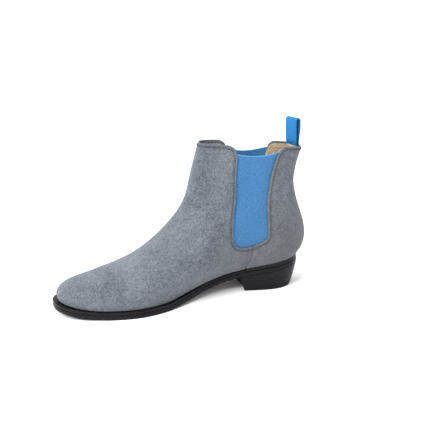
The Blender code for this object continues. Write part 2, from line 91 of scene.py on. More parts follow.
LATERAL = [
    (67, 53, 45, 52, 55, 53, 58),
    (65, 55, 46, 54, 62, 56, 55),
    (50, 46, 40, 47, 54, 49, 45),
    (28, 25, 27, 34, 39, 39, 36),
    (28, 17, 15, 20, 26, 31, 35),
    (40, 24, 19, 18, 23, 31, 39),
]
LEAN = 3.5  # the shaft leans to the medial side by this much over LEAN_RISE
LEAN_FROM, LEAN_RISE = 40, 120

# --- The gores: u of their two edges at each height, and where they stop.
GORE_HEIGHTS = [0, 0.3, 0.5, 0.75, 1]
GORE_REAR = [0.134, 0.160, 0.170, 0.180, 0.173]
GORE_FRONT = [0.192, 0.222, 0.250, 0.280, 0.303]
GORE_BOTTOM, GORE_TOP = 0.285, 0.955
CORNER_REAR, CORNER_FRONT = 0.023, 0.038  # u over which the panels' top corners are rounded
GORE_TUCK_U, GORE_TUCK_V = 0.015, 0.035  # the gore runs on behind the panels by this much
SELVEDGE_R = 0.75
GORE_DIP_V = 0.012  # its top edge dips by this much in the middle
WINDOW_FRONT = (0.14, 0.95)  # the window's two lower corners: height in v, and how square they are,
WINDOW_REAR = (0.075, 0.8)  # where 1 is an ellipse and less is squarer

# --- Layers of the upper, as depths below the form.
LEATHER = 1.6
GORE_DEPTH, GORE_THICK = 2.05, 1.0
LINING_DEPTH, LINING_THICK = 3.5, 0.8
LINING_STEP_V = 0.018  # the lining ends this far below the suede's top edge
RIM_DEPTH = 1.75  # the lining comes up to the suede's back at the top edge
TAB_POCKET = 4.3  # and stands off it round the pull tab's foot
INSOLE_TOP = 4.4
SEAM_GAP_U, BACK_GAP_U = 0.0005, 0.0008

# --- The sole and the heel.
SOLE, WELT_THICK, OUTSOLE_THICK = 8.6, 3.0, 5.0
WELT_INNER = 6.0
EDGE_FRONT, EDGE_REAR = 4.0, 1.2  # how far the sole's edge stands out, at the forefoot and at the heel
EDGE_TOE = 2.4  # and how much further at the very toe
FOREFOOT_Y, TOE_Y = (-70, -130), (-205, -240)  # where the edge widens
SEAT_Y = -34
BREAST_Y, BREAST_SLOPE, BREAST_HOLLOW = -41, 6, 3.5
HEEL_MIDDLE_X = -6
TOP_PIECE, LIFT, LIFTS = 6.0, 3.0, 3
TAPER = 0.88

# --- The pull tab.
TAB_X, TAB_Y, TAB_TURN = -2.0, 31.5, 14.0
TAB_WIDTH, TAB_THICK = 20.0, 1.1
TAB_TOP, TAB_LOW = 196.0, 156.0
EDGE_ROW = 3.3  # stitches stand this far in from a panel's edge
LINING_ROW = 4.5
SEAM_ROW_U = 0.006
RAND_LIFT = 2.0
WEDGE_REACH, HEEL_HIGH = 26.0, 26.0
TAB_RIM, TAB_FREE = 161.0, 169.0  # below the first height it lies in the rim, above the second it stands free

# --- The camera: where it stands, in metres, and how it is turned, in degrees.
EYE = (0.771, -0.295, 0.332)
YAW, PITCH, ROLL = -73.0, -17.0, -1.4
LENS = 60.7


# ---------------------------------------------------------------- curves and the form


def spline_weights(knots, at):
    """Weights of the natural cubic spline on knots, so that weights @ values is its value at each place."""
    knots, at = np.asarray(knots, float), np.asarray(at, float)
    count, step = len(knots), np.diff(knots)
    left, right = np.eye(count), np.zeros((count, count))
    for i in range(1, count - 1):
        left[i, i - 1 : i + 2] = step[i - 1], 2 * (step[i - 1] + step[i]), step[i]
        right[i, i - 1 : i + 2] = 6 / step[i - 1], -6 / step[i - 1] - 6 / step[i], 6 / step[i]
    bend = np.linalg.solve(left, right)
    i = np.clip(np.searchsorted(knots, at) - 1, 0, count - 2)
    b = ((at - knots[i]) / step[i])[..., None]
    a = 1 - b
    pull = (step[i] ** 2 / 6)[..., None]
    flat = a * np.eye(count)[i] + b * np.eye(count)[i + 1]
    return flat + pull * ((a**3 - a) * bend[i] + (b**3 - b) * bend[i + 1])


def along(points):
    """The smooth curve through points, as a function of the share of its length."""
    points = np.array(points, float)
    share = np.append(0, np.cumsum(np.hypot(*np.diff(points, axis=0).T)))
    dense = spline_weights(share / share[-1], np.linspace(0, 1, 400)) @ points
    run = np.append(0, np.cumsum(np.hypot(*np.diff(dense, axis=0).T)))
    run /= run[-1]
    return lambda at: np.stack([np.interp(at, run, dense[:, 0]), np.interp(at, run, dense[:, 1])], -1)


back, ridge, topline = along(BACK), along(RIDGE), along(TOPLINE)


def feather_z(y):
    """Height of the feather line. The sole lies flat on the floor where this is SOLE."""
    places, heights = np.array(FEATHER, float).T
    return SOLE + np.maximum(spline_weights(places, y) @ (heights - SOLE), 0)


def side_view(t, v):
    """The form's (y, z): a patch stretched between its four side-view curves."""
    heel, toe = BACK[0][0], RIDGE[0][0]
    y = heel + (toe - heel) * t
    low = np.stack([y, feather_z(y)], -1)
    ends = np.array([(heel, feather_z(heel)), (toe, feather_z(toe)), topline(0), topline(1)])
    high = topline(t)
    t, v = t[..., None], v[..., None]
    patch = (1 - v) * low + v * high + (1 - t) * back(v[..., 0]) + t * ridge(v[..., 0])
    return patch - (1 - v) * ((1 - t) * ends[0] + t * ends[1]) - v * ((1 - t) * ends[2] + t * ends[3])


def form(u, v):
    """Point on the form's surface."""
    u, v = np.broadcast_arrays(np.asarray(u, float), np.asarray(v, float))
    t = (1 - np.cos(2 * np.pi * u)) / 2
    yz = side_view(t, v)
    turn = np.sin(2 * np.pi * u)
    rows, stations = spline_weights(HEIGHTS, v), spline_weights(STATIONS, t)
    medial = np.einsum("...i,ij,...j", rows, np.array(MEDIAL, float), stations)
    lateral = np.einsum("...i,ij,...j", rows, np.array(LATERAL, float), stations)
    lean = LEAN * np.clip((yz[..., 1] - LEAN_FROM) / LEAN_RISE, 0, 1.2)
    x = turn * np.where(turn >= 0, medial, lateral) + lean
    return np.stack([x, yz[..., 0], yz[..., 1]], -1)


def slopes(u, v, tiny=1e-3):
    """How the form's point moves with u, and with v."""
    low, high = np.maximum(v - tiny, 0), np.minimum(v + tiny, 1)
    by_u = (form(u + tiny, v) - form(u - tiny, v)) / (2 * tiny)
    by_v = (form(u, high) - form(u, low)) / (high - low)[..., None]
    return by_u, by_v


def outward(u, v):
    """The form's unit normal, pointing out of the boot."""
    by_u, by_v = slopes(np.asarray(u, float), np.asarray(v, float))
    return unit(np.cross(by_v, by_u))


def unit(vectors):
    return vectors / np.maximum(np.linalg.norm(vectors, axis=-1, keepdims=True), 1e-9)


def moved(uv, shift):
    """Points (u, v) moved over the form by shift, in millimetres."""
    by_u, by_v = slopes(uv[:, 0], uv[:, 1])
    a, b, c = (by_u * by_u).sum(-1), (by_u * by_v).sum(-1), (by_v * by_v).sum(-1)
    p, q = (by_u * shift).sum(-1), (by_v * shift).sum(-1)
    size = a * c - b * b
    return uv + np.stack([(c * p - b * q) / size, (a * q - b * p) / size], -1)


def smooth_step(x):
    x = np.clip(x, 0, 1)
    return x * x * (3 - 2 * x)


def smooth_share(y, start, end):
    """How far y has come from start to end, from 0 to 1, with a soft start and a soft stop."""
    return smooth_step((y - start) / (end - start))


def ripple(points, size, seed):
    """Smooth noise from -1 to 1 at each point, with waves about size millimetres long."""
    shift = Vector((seed * 17.3, seed * 5.1, seed * 9.7))
    return np.array([noise.noise(Vector(p) / size + shift) for p in points])


# ---------------------------------------------------------------- outlines on the form


def front_edge(v):
    return spline_weights(GORE_HEIGHTS, v) @ np.array(GORE_FRONT)


def rear_edge(v):
    return spline_weights(GORE_HEIGHTS, v) @ np.array(GORE_REAR)


def seam_edge(v):
    return (front_edge(v) + rear_edge(v)) / 2


def corner_v(from_gore, span):
    """Height of a panel's top edge near the gore: a quarter round that falls to the gore's top."""
    away = np.clip(from_gore / span, 0, 1)
    return GORE_TOP + (1 - GORE_TOP) * np.sqrt(1 - (1 - away) ** 2)


def pairs(u, v):
    return np.stack(np.broadcast_arrays(np.asarray(u, float), np.asarray(v, float)), -1)


LOW_V = np.linspace(0, GORE_BOTTOM, 30)
QUARTER = 1 - np.cos(np.linspace(0, np.pi / 2, 12))  # shares of a corner, closer where it turns more
TURN = np.linspace(0, np.pi / 2, 16)


def window_side(edge, corner):
    """The gore window's outline from the middle of its bottom, round its lower corner and up one side."""
    rise, square = corner
    v = GORE_BOTTOM + rise * (1 - np.cos(TURN) ** square)
    middle = seam_edge(GORE_BOTTOM)
    side_v = np.linspace(GORE_BOTTOM + rise, GORE_TOP - 0.01, 50)[1:]
    low = pairs(middle + (edge(v) - middle) * np.sin(TURN) ** square, v)
    return np.concatenate([low, pairs(edge(side_v), side_v)])


def front_side():
    """The front panel's medial edge, from the feather line up to where its top edge is level."""
    corner_u = front_edge(1.0) + CORNER_FRONT * QUARTER
    return np.concatenate([
        pairs(seam_edge(LOW_V), LOW_V)[:-1],
        window_side(front_edge, WINDOW_FRONT),
        pairs(corner_u, corner_v(corner_u - front_edge(1.0), CORNER_FRONT)),
    ])


def rear_side(gap=0.0):
    """The rear panel's medial edge, from the feather line up to where its top edge is level."""
    corner_u = rear_edge(1.0) - CORNER_REAR * QUARTER
    return np.concatenate([
        pairs(seam_edge(LOW_V) - gap, LOW_V)[:-1],
        window_side(rear_edge, WINDOW_REAR) - (gap, 0),
        pairs(corner_u, corner_v(rear_edge(1.0) - corner_u, CORNER_REAR)),
    ])


def lateral(uv):
    """The same line on the other side of the boot."""
    return uv * (-1, 1) + (1, 0)


def dense(uv, spacing):
    """An open line's points, set spacing millimetres apart."""
    points = form(uv[:, 0], uv[:, 1])
    run = np.append(0, np.cumsum(np.linalg.norm(np.diff(points, axis=0), axis=1)))
    at = np.linspace(0, run[-1], max(int(run[-1] / spacing), 2) + 1)
    return np.stack([np.interp(at, run, uv[:, 0]), np.interp(at, run, uv[:, 1])], -1)


def rounded(uv, radius, spacing):
    """A closed line through uv with rounded corners, as points spacing millimetres apart."""
    fine = dense(np.concatenate([uv, uv[:1]]), spacing / 3)[:-1]
    reach = max(int(radius / spacing * 3), 1)
    fine = sum(np.roll(fine, i, axis=0) for i in range(-reach, reach + 1)) / (2 * reach + 1)
    return dense(np.concatenate([fine, fine[:1]]), spacing)[:-1]


def front_outline():
    side = front_side()
    return np.concatenate([side, dense(np.array([side[-1], lateral(side[-1:])[0]]), 4), lateral(side)[::-1]])


def rear_outline():
    side = rear_side(SEAM_GAP_U)
    return np.concatenate([side * (-1, 1), side[::-1]])


def back_lining_outline():
    side = rear_side(SEAM_GAP_U)
    return np.concatenate([pairs(BACK_GAP_U, [0, 1]), side[::-1]])


def gore_top():
    """The gore's top edge, from one side of its window to the other."""
    share = np.linspace(0, 1, 40)
    rear, front = rear_edge(GORE_TOP), front_edge(GORE_TOP)
    over = GORE_TUCK_U / 2
    u = rear - over + (front - rear + 2 * over) * share
    dip = np.sin(np.pi * np.clip((u - rear) / (front - rear), 0, 1))
    return pairs(u, GORE_TOP - GORE_DIP_V * dip)


def gore_outline():
    v = np.linspace(GORE_BOTTOM - GORE_TUCK_V, GORE_TOP, 50)
    front = front_edge(v) + GORE_TUCK_U
    rear = rear_edge(v) - GORE_TUCK_U
    share = np.linspace(0, 1, 30)
    span = front[-1] - rear[-1]
    between = np.clip((share * span - GORE_TUCK_U) / (span - 2 * GORE_TUCK_U), 0, 1)
    top = pairs(rear[-1] + (front[-1] - rear[-1]) * share, GORE_TOP - GORE_DIP_V * np.sin(np.pi * between))
    return np.concatenate([pairs(rear, v), top, pairs(front, v)[::-1]])


# ---------------------------------------------------------------- making objects


def link(name, mesh, finish):
    obj = bpy.data.objects.new(name, mesh)
    mesh.materials.append(finish)
    bpy.context.scene.collection.objects.link(obj)
    return obj


def add_mesh(name, points, faces, finish, body="boot", merge=0.0):
    mesh = bpy.data.meshes.new(name)
    mesh.from_pydata((np.asarray(points) * MM).tolist(), [], [list(map(int, f)) for f in faces])
    if merge:
        work = bmesh.new()
        work.from_mesh(mesh)
        bmesh.ops.remove_doubles(work, verts=work.verts, dist=merge * MM)
        bmesh.ops.recalc_face_normals(work, faces=work.faces)
        work.to_mesh(mesh)
        work.free()
    mesh.validate()
    mesh.shade_smooth()
    obj = link(name, mesh, finish)
    if body:
        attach(obj, body)
    return obj


def inside(points, loop):
    """Which of the points lie inside the closed loop."""
    x, y = points[:, 0:1], points[:, 1:2]
    x0, y0 = loop[:, 0], loop[:, 1]
    x1, y1 = np.roll(x0, -1), np.roll(y0, -1)
    cross = (y0 > y) != (y1 > y)
    with np.errstate(divide="ignore", invalid="ignore"):
        at = x0 + (y - y0) * (x1 - x0) / (y1 - y0)
    return (cross & (x < at)).sum(1) % 2 == 1


def loop_area(uv):
    return (uv[:, 0] * np.roll(uv[:, 1], -1) - np.roll(uv[:, 0], -1) * uv[:, 1]).sum() / 2


FLAT = np.array([600.0, 160.0])  # (u, v) times this is a fair flat plan of the form, in millimetres


def panel(name, outline, finish, depth, thickness, cell=3.0, edge=1.4, corner=1.2, relief=None,
          replaced=(), slot=None):
    """A layer cut to outline, with a half-round edge all the way round.

    relief(uv, points) moves it outwards.
    """
    loop = rounded(outline, corner, edge)
    points = form(loop[:, 0], loop[:, 1])
    normal = outward(loop[:, 0], loop[:, 1])
    tangent = unit(np.roll(points, -1, axis=0) - np.roll(points, 1, axis=0))
    inwards = np.cross(normal, tangent)
    if abs(loop_area(moved(loop, inwards))) > abs(loop_area(loop)):
        inwards = -inwards
    half = thickness / 2
    turns = np.radians([0, 30, 60, 90])
    loops = [moved(loop, inwards * half * (1 - np.cos(a))) for a in turns]
    sinks = [half * (1 - np.sin(a)) for a in turns]
    loops.append(moved(loop, inwards * (half + edge)))
    sinks.append(0.0)
    flat_loops = [one * FLAT for one in loops]
    low, high = flat_loops[0].min(0), flat_loops[0].max(0)
    grid_x, grid_y = np.meshgrid(np.arange(low[0], high[0], cell), np.arange(low[1], high[1], cell * 0.87))
    grid_x[1::2] += cell / 2
    grid = np.stack([grid_x.ravel(), grid_y.ravel()], -1)
    grid = grid[inside(grid, flat_loops[-1])]
    space = np.array([np.hypot(*(flat_loops[-1] - g).T).min() for g in grid])
    grid = grid[space > cell * 0.55]
    flat = np.concatenate([*flat_loops, grid])
    count = len(loop)
    ring = np.arange(count)
    edges = [
        (int(k * count + i), int(k * count + (i + 1) % count)) for k in range(len(loops)) for i in ring
    ]
    placed, _, faces, origin, _, _ = geometry.delaunay_2d_cdt(
        [Vector(p) for p in flat.tolist()], edges, [], 1, 1e-5
    )
    placed = np.array([tuple(p) for p in placed])
    sink = np.concatenate([*(np.full(count, s) for s in sinks), np.zeros(len(grid))])
    sink = np.array([sink[o[0]] if o else 0.0 for o in origin])
    on_edge = np.array([bool(o) and o[0] < count for o in origin])
    uv = placed / FLAT
    surface, normal = form(uv[:, 0], uv[:, 1]), outward(uv[:, 0], uv[:, 1])
    deep = depth(uv, surface) if callable(depth) else np.full(len(uv), float(depth))
    lift = relief(uv, surface) if relief else 0.0
    outer = surface - normal * (deep + sink - lift)[:, None]
    inner = surface - normal * (deep + thickness - sink - lift)[:, None]
    second = np.where(on_edge, np.arange(len(uv)), len(uv) + np.arange(len(uv)))
    faces = np.array([list(f) for f in faces])
    middle = faces[len(faces) // 2]
    one_side = outer[middle[1]] - outer[middle[0]]
    other_side = outer[middle[2]] - outer[middle[0]]
    facing = np.cross(one_side, other_side) @ normal[middle[0]]
    if facing < 0:
        faces = faces[:, ::-1]
    every = np.concatenate([faces, second[faces][:, ::-1]])
    obj = add_mesh(name, np.concatenate([outer, inner]), every, finish)
    loose = bmesh.new()
    loose.from_mesh(obj.data)
    bmesh.ops.delete(loose, geom=[v for v in loose.verts if not v.link_faces], context="VERTS")
    loose.to_mesh(obj.data)
    loose.free()
    store_cloth_plan(obj)
    if replaced:
        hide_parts(*replaced)
    return obj


def store_cloth_plan(obj):
    """Stores where each point lies along and up the panel, in millimetres, for weaves that follow it."""
    co = np.array([tuple(v.co) for v in obj.data.vertices]) / MM
    plan = np.stack([co[:, 1], co[:, 2], np.zeros(len(co))], -1)
    attribute = obj.data.attributes.new("cloth_plan", "FLOAT_VECTOR", "POINT")
    attribute.data.foreach_set("vector", plan.astype(np.float32).ravel())


def stitches(name, uv, finish, depth=0.0, pitch=3.2, length=2.3, radius=0.28, slant=0.0, relief=None,
             inwards=False):
    """A row of stitches along the line uv, each turned by slant degrees and sunk at its ends."""
    line = dense(uv, pitch)
    line = (line[:-1] + line[1:]) / 2
    normal = outward(line[:, 0], line[:, 1])
    surface = form(line[:, 0], line[:, 1])
    lift = relief(line, surface) if relief else np.zeros(len(line))
    centres = surface - normal * (depth - lift)[:, None]
    normal = -normal if inwards else normal
    tangent = unit(np.gradient(centres, axis=0))
    side = np.cross(normal, tangent)
    angle = math.radians(slant)
    run = tangent * math.cos(angle) + side * math.sin(angle)
    side = np.cross(normal, run)
    shares = np.array([-1, -0.75, -0.35, 0.35, 0.75, 1])
    girth = radius * np.array([0.35, 0.85, 1, 1, 0.85, 0.35])
    rise = radius * np.array([-1.0, -0.1, 0.35, 0.35, -0.1, -1.0])
    turns = np.linspace(0, 2 * np.pi, 7)[:-1]
    points, faces = [], []
    for c, d, n, s in zip(centres, run, normal, side):
        first = len(points)
        for share, girth_here, rise_here in zip(shares, girth, rise):
            middle = c + d * share * length / 2 + n * rise_here
            points += [middle + girth_here * (n * math.cos(a) + s * math.sin(a)) for a in turns]
        for k in range(len(shares) - 1):
            for i in range(6):
                low, high = first + k * 6, first + (k + 1) * 6
                faces.append([low + i, low + (i + 1) % 6, high + (i + 1) % 6, high + i])
        last = first + 6 * (len(shares) - 1)
        faces += [[first + i for i in range(5, -1, -1)], [last + i for i in range(6)]]
    return add_mesh(name, points, faces, finish)


def bead(name, uv, depth, radius, finish, sides=8):
    """A thin round cord along the line uv."""
    line = dense(uv, 1.2)
    normal = outward(line[:, 0], line[:, 1])
    centres = form(line[:, 0], line[:, 1]) - normal * depth
    side = np.cross(normal, unit(np.gradient(centres, axis=0)))
    turns = np.linspace(0, 2 * np.pi, sides + 1)[:-1]
    rings = np.array([centres + radius * (normal * math.cos(a) + side * math.sin(a)) for a in turns])
    return tube(name, rings.transpose(1, 0, 2), finish)


# ---------------------------------------------------------------- materials


class Nodes:
    """A material's node tree, with a short way to add and join nodes."""

    def __init__(self, name, roughness=0.5, **settings):
        self.material = bpy.data.materials.new(name)
        self.material.use_nodes = True
        self.tree = self.material.node_tree
        self.shader = self.tree.nodes["Principled BSDF"]
        self.shader.inputs["Roughness"].default_value = roughness
        for socket, value in settings.items():
            self.shader.inputs[socket.replace("_", " ")].default_value = value
        self.place = self.add("ShaderNodeTexCoord").outputs["Object"]

    def add(self, kind, **inputs):
        node = self.tree.nodes.new(kind)
        for socket, value in inputs.items():
            self.put(node.inputs[socket.replace("_", " ")], value)
        return node

    def put(self, socket, value):
        if isinstance(value, bpy.types.NodeSocket):
            self.tree.links.new(value, socket)
        else:
            socket.default_value = value

    def noise(self, scale, detail=3.0, roughness=0.55, place=None, distortion=0.0):
        return self.add("ShaderNodeTexNoise", Vector=place or self.place, Scale=scale, Detail=detail,
                        Roughness=roughness, Distortion=distortion).outputs["Fac"]

    def span(self, value, low, high, to_low=0.0, to_high=1.0):
        node = self.add("ShaderNodeMapRange")
        node.inputs["From Min"].default_value = low
        node.inputs["From Max"].default_value = high
        node.inputs["To Min"].default_value = to_low
        node.inputs["To Max"].default_value = to_high
        self.put(node.inputs["Value"], value)
        return node.outputs["Result"]

    def maths(self, operation, a, b=0.0):
        node = self.tree.nodes.new("ShaderNodeMath")
        node.operation = operation
        self.put(node.inputs[0], a)
        self.put(node.inputs[1], b)
        return node.outputs[0]

    def mix(self, share, a, b, blend="MIX"):
        node = self.tree.nodes.new("ShaderNodeMix")
        node.data_type, node.blend_type = "RGBA", blend
        self.put(node.inputs["Factor"], share)
        colours = [s for s in node.inputs if s.type == "RGBA"]
        for socket, value in zip(colours, (a, b)):
            self.put(socket, (*value, 1.0) if isinstance(value, tuple) else value)
        return [s for s in node.outputs if s.type == "RGBA"][0]

    def stretched(self, scale, place=None):
        node = self.add("ShaderNodeMapping", Vector=place or self.place)
        node.inputs["Scale"].default_value = scale
        return node.outputs["Vector"]

    def height(self, name):
        """One coordinate of the object, in metres."""
        return self.add("ShaderNodeSeparateXYZ", Vector=self.place).outputs[name]

    def bump(self, height, distance, strength=1.0, under=None):
        node = self.add("ShaderNodeBump", Height=height, Distance=distance, Strength=strength)
        if under is not None:
            self.put(node.inputs["Normal"], under)
        return node.outputs["Normal"]

    def finish(self, colour=None, normal=None, roughness=None):
        for socket, value in (("Base Color", colour), ("Normal", normal), ("Roughness", roughness)):
            if value is not None:
                self.put(self.shader.inputs[socket], value)
        return self.material


def suede(name, dark, light, painted_heel_shade):
    """Napped leather: cloudy where the nap lies in different directions, with fine fibres over it."""
    m = Nodes(name, 0.95, Sheen_Weight=0.25, Sheen_Roughness=0.5, Specular_IOR_Level=0.1)
    m.shader.inputs["Sheen Tint"].default_value = (0.85, 0.9, 1.0, 1)
    clouds = m.span(m.noise(22, 4, 0.55, distortion=0.6), 0.3, 0.7)
    brushed = m.span(m.noise(170, 5, 0.7), 0.36, 0.64)
    specks = m.span(m.noise(560, 4, 0.7), 0.41, 0.59)
    fibres = m.noise(1900, 3, 0.7, m.stretched((1.0, 1.0, 0.45)))
    tone = m.maths("ADD", m.maths("MULTIPLY", clouds, 0.34), m.maths("MULTIPLY", brushed, 0.2))
    tone = m.maths("ADD", tone, m.maths("MULTIPLY", specks, 0.46))
    colour = m.mix(tone, dark, light)
    colour = m.mix(m.span(fibres, 0.35, 0.68), m.mix(0.3, colour, dark), colour)
    # Painted shade: low down and towards the heel the colour is mixed towards a darker grey, standing in for
    # shade on the rear.
    low = m.span(m.height("Z"), 0.035, 0.12, 1.0, 0.0)
    behind = m.span(m.height("Y"), -0.09, 0.01)
    colour = m.mix(m.maths("MULTIPLY", m.maths("MULTIPLY", low, behind), 0.55), colour, painted_heel_shade)
    fine = m.bump(fibres, 0.0004, 0.7)
    return m.finish(colour, m.bump(specks, 0.0005, 0.4, fine))


def elastic(name, dark, light):
    """Gore elastic: fine slanted ribs in rubber cores wrapped with yarn."""
    m = Nodes(name, 0.62, Sheen_Weight=0.15, Specular_IOR_Level=0.3)
    plan = m.add("ShaderNodeAttribute")
    plan.attribute_name = "cloth_plan"
    place = plan.outputs["Vector"]
    ribs = m.add("ShaderNodeTexWave", Vector=place, Scale=0.36, Distortion=0.6, Detail=1.0)
    ribs.bands_direction = "Y"
    slants = m.add("ShaderNodeMapping", Vector=place)
    slants.inputs["Rotation"].default_value = (0, 0, math.radians(32))
    twill = m.add("ShaderNodeTexWave", Vector=slants.outputs["Vector"], Scale=0.13, Distortion=0.4)
    half_ribs = m.maths("MULTIPLY", ribs.outputs["Fac"], 0.5)
    weave = m.maths("ADD", half_ribs, m.maths("MULTIPLY", twill.outputs["Fac"], 0.5))
    flecks = m.span(m.noise(0.6, 3, 0.6, place), 0.38, 0.62)
    tone = m.maths("ADD", m.maths("MULTIPLY", weave, 0.35), m.maths("MULTIPLY", flecks, 0.65))
    return m.finish(m.mix(tone, dark, light), m.bump(weave, 0.0004, 0.8))


def webbing(name, dark, light):
    """Tightly woven ribbon: fine cross ribs with a smooth sheen."""
    m = Nodes(name, 0.6, Sheen_Weight=0.05, Specular_IOR_Level=0.2)
    plan = m.add("ShaderNodeAttribute")
    plan.attribute_name = "cloth_plan"
    place = plan.outputs["Vector"]
    across = m.add("ShaderNodeTexWave", Vector=place, Scale=0.45, Distortion=0.3)
    across.bands_direction = "Y"
    lengthways = m.add("ShaderNodeTexWave", Vector=place, Scale=0.3, Distortion=0.3)
    weave = m.maths("MAXIMUM", across.outputs["Fac"], m.maths("MULTIPLY", lengthways.outputs["Fac"], 0.8))
    tone = m.maths("ADD", m.maths("MULTIPLY", weave, 0.5), m.maths("MULTIPLY", m.noise(90, 3), 0.5))
    return m.finish(m.mix(m.span(tone, 0.25, 0.85), dark, light), m.bump(weave, 0.0003, 0.6))


def leather(name, dark, light, roughness, pore=900, grain=0.0002, coat=0.0):
    """Smooth leather: a pebbled grain, wrinkles and a slightly uneven dye."""
    m = Nodes(name, roughness, Specular_IOR_Level=0.45, Coat_Weight=coat, Coat_Roughness=0.25)
    cells = m.add("ShaderNodeTexVoronoi", Vector=m.place, Scale=float(pore))
    pebbles = m.span(cells.outputs["Distance"], 0.0, 0.7)
    folds = m.span(m.noise(55, 5, 0.6, m.stretched((1, 1, 2.2)), 1.2), 0.35, 0.65)
    colour = m.mix(m.maths("MULTIPLY", folds, 0.7), dark, light)
    colour = m.mix(m.span(m.noise(300, 4), 0.35, 0.7), m.mix(0.25, colour, dark), colour)
    shine = m.span(m.noise(120, 4), 0.3, 0.7, max(roughness - 0.1, 0.05), roughness + 0.1)
    return m.finish(colour, m.bump(folds, 0.0012, 0.5, m.bump(pebbles, grain, 0.6)), shine)


def sole_black(name, colour, roughness, lines=0.0, coat=0.04):
    """Waxed, dyed sole edge: satin, with faint layers and scuffs."""
    m = Nodes(name, roughness, Specular_IOR_Level=0.12, Coat_Weight=coat, Coat_Roughness=0.2)
    layers = m.noise(30, 3, 0.6, m.stretched((1.0, 1.0, 90.0)))
    scuffs = m.span(m.noise(420, 5, 0.7, m.stretched((1.0, 1.0, 3.0))), 0.55, 0.75)
    lighter = tuple(min(c * 2.6 + 0.01, 1) for c in colour)
    tone = m.mix(m.maths("MULTIPLY", m.span(layers, 0.35, 0.7), 0.25 + lines), colour, lighter)
    tone = m.mix(m.maths("MULTIPLY", scuffs, 0.3), tone, tuple(min(c * 4 + 0.02, 1) for c in colour))
    shine = m.span(m.noise(200, 4), 0.3, 0.7, max(roughness - 0.12, 0.05), roughness + 0.12)
    return m.finish(tone, m.bump(layers, 0.0003, 0.3 + lines, m.bump(m.noise(900, 3), 0.0001, 0.5)), shine)


def grainy(name, dark, light, roughness, scale, metallic=0.0, bump=0.0003):
    """A plain hidden material with some grain: cork, fibre board or brushed steel."""
    m = Nodes(name, roughness, Metallic=metallic)
    speckle = m.noise(scale, 5, 0.65)
    coarse = m.noise(scale / 6, 3)
    tone = m.maths("ADD", m.maths("MULTIPLY", speckle, 0.6), m.maths("MULTIPLY", coarse, 0.4))
    return m.finish(m.mix(m.span(tone, 0.3, 0.7), dark, light), m.bump(speckle, bump, 0.6))


def thread(name, colour):
    """Twisted sewing thread."""
    m = Nodes(name, 0.55, Sheen_Weight=0.2)
    twist = m.noise(2500, 2, 0.5)
    dark = tuple(c * 0.6 for c in colour)
    return m.finish(m.mix(m.span(twist, 0.3, 0.7), dark, colour), m.bump(twist, 0.0001, 0.7))


# ---------------------------------------------------------------- the upper


def soft_waves(uv, points):
    """The suede isn't quite smooth: long low waves, which fade out towards the feather line."""
    waves = 0.35 * ripple(points, 34, 1) + 0.12 * ripple(points, 13, 2)
    flat_low = smooth_step(uv[:, 1] / 0.1)
    return waves * flat_low


def lining_depth(uv, points):
    """The lining hugs the suede along the top edge, and stands off it for the gores and the pull tab."""
    u = uv[:, 0] % 1
    u = np.minimum(u, 1 - u)
    rim = smooth_step((uv[:, 1] - 0.90) / 0.07)
    off_gore = smooth_step((np.maximum(u - front_edge(uv[:, 1]), rear_edge(uv[:, 1]) - u) - 0.018) / 0.02)
    tab = 1 - smooth_step((np.abs(points[:, 0] - TAB_X) - TAB_WIDTH / 2 - 1) / 5)
    tab = tab * (points[:, 1] > 0)
    near_rim = LINING_DEPTH + (RIM_DEPTH - LINING_DEPTH) * off_gore
    near_rim = near_rim + (TAB_POCKET - near_rim) * tab
    return LINING_DEPTH + (near_rim - LINING_DEPTH) * rim


def lining_creases(uv, points):
    """Soft leather creases. They only stand inwards, so that they stay clear of the suede."""
    creases = 0.5 + 0.5 * ripple(points * (1, 1, 0.5), 11, 3)
    return -0.9 * creases * smooth_step((1 - uv[:, 1]) / 0.06)


def inset_line(uv, distance):
    """An open line on the form moved sideways by distance, to the left of the way it runs."""
    points = form(uv[:, 0], uv[:, 1])
    side = np.cross(outward(uv[:, 0], uv[:, 1]), unit(np.gradient(points, axis=0)))
    return moved(uv, side * distance)


def make_upper():
    panel("suede_front", front_outline(), SUEDE, 0.0, LEATHER, relief=soft_waves, replaced=["front_upper"],
          slot="suede")
    panel("suede_rear", rear_outline(), SUEDE, 0.0, LEATHER, relief=soft_waves, replaced=["rear_upper"],
          slot="suede")
    lined = {"cell": 3.5, "edge": 1.6, "relief": lining_creases, "slot": "lining"}
    panel("lining_front_leather", lining_cut(front_outline()), LINING, lining_depth, LINING_THICK,
          replaced=["lining_front"], **lined)
    half = lining_cut(back_lining_outline())
    panel("lining_back_medial", half, LINING, lining_depth, LINING_THICK,
          replaced=["lining_rear_medial"], **lined)
    panel("lining_back_lateral", half * (-1, 1), LINING, lining_depth, LINING_THICK,
          replaced=["lining_rear_lateral"], **lined)
    for side, outline in (("medial", gore_outline()), ("lateral", lateral(gore_outline()))):
        panel(f"gore_{side}_elastic", outline, ELASTIC, GORE_DEPTH, GORE_THICK, edge=1.2, corner=1.0,
              replaced=[f"gore_{side}"], slot="elastic")
        top = gore_top() if side == "medial" else lateral(gore_top())
        bead(f"gore_{side}_selvedge", top, GORE_DEPTH + GORE_THICK / 2, SELVEDGE_R, SELVEDGE)


def lining_cut(uv):
    """A panel's outline as its lining has it: it stands on the insole, and ends just below the top edge."""
    height = (form(uv[:, 0], 0.05) - form(uv[:, 0], 0.0))[:, 2]
    foot = 0.05 * (INSOLE_TOP + GAP) / np.maximum(height, 1)
    below_rim = LINING_STEP_V * smooth_step((uv[:, 1] - GORE_TOP + 0.03) / 0.03)
    return np.stack([uv[:, 0], np.maximum(uv[:, 1], foot) - below_rim], -1)


